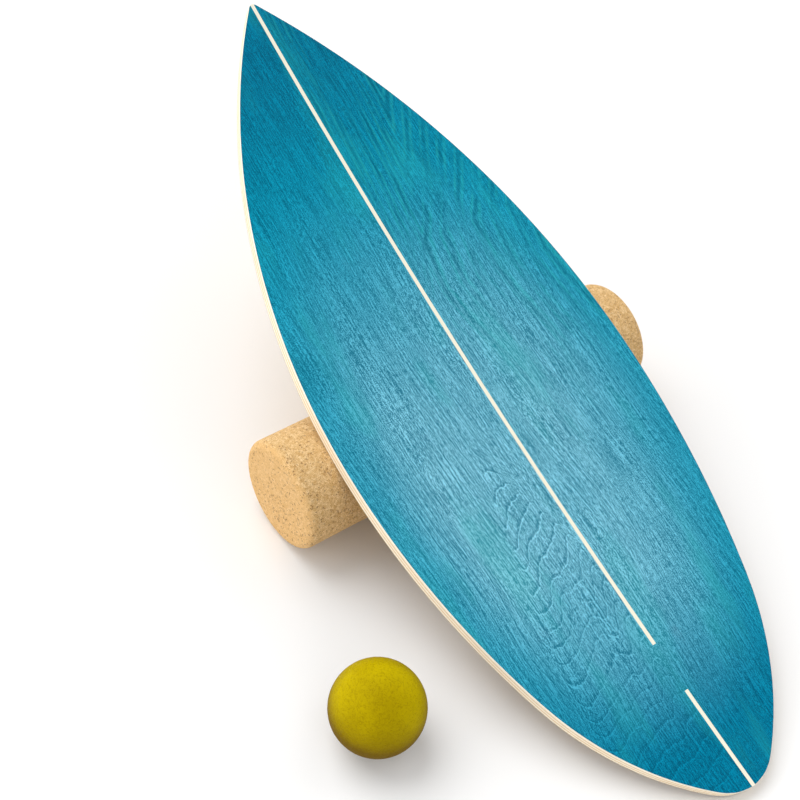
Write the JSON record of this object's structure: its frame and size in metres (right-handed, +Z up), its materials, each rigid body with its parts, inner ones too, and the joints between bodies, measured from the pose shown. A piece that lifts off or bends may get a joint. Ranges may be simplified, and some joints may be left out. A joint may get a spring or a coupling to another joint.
{
  "type": "balance board",
  "caption": "Surfboard-shaped plywood balance board with a rocker curve, resting tail-down on a solid cork roller, with a foam massage ball beside it.",
  "frame": {"origin": "point of the floor under the middle of the cork roller", "axes": "+X from the nose to the tail along the floor, +Y to the right rail, +Z up"},
  "size_m": [0.7685, 0.457, 0.2455],
  "materials": {
    "stained_veneer": "stained blue, brushed grain, matte lacquer",
    "pale_inlay": "clear matte lacquer",
    "ply_long_grain": "sanded edge",
    "ply_end_grain": "sanded edge",
    "bare_birch": "clear matte lacquer",
    "zinc_steel": "zinc plated",
    "cork": "agglomerated cork, sanded",
    "yellow_foam": "matte, fine pebbled skin"
  },
  "bodies": {
    "ball": {"massage_ball": "yellow_foam"},
    "roller": {"cork_roller": "cork"},
    "deck": {"top_veneer": "stained_veneer", "stringer_front": "pale_inlay", "stringer_tail": "pale_inlay", "core_ply_1": "ply_long_grain", "core_ply_2": "ply_end_grain", "core_ply_3": "ply_long_grain", "core_ply_4": "ply_end_grain", "core_ply_5": "ply_long_grain", "bottom_veneer": "bare_birch", "nose_stop": "bare_birch", "tail_stop": "bare_birch", "stop_screws": "zinc_steel"}
  },
  "joints": [
    {"name": "roller_roll", "type": "slide", "parent": "ball", "child": "roller", "axis": [1, 0, 0], "range_m": [-0.12, 0.12]},
    {"name": "deck_tilt", "type": "hinge", "parent": "roller", "child": "deck", "pos_m": [0, 0, 0.05], "axis": [0, -1, 0], "range_deg": [0, 34]}
  ]
}
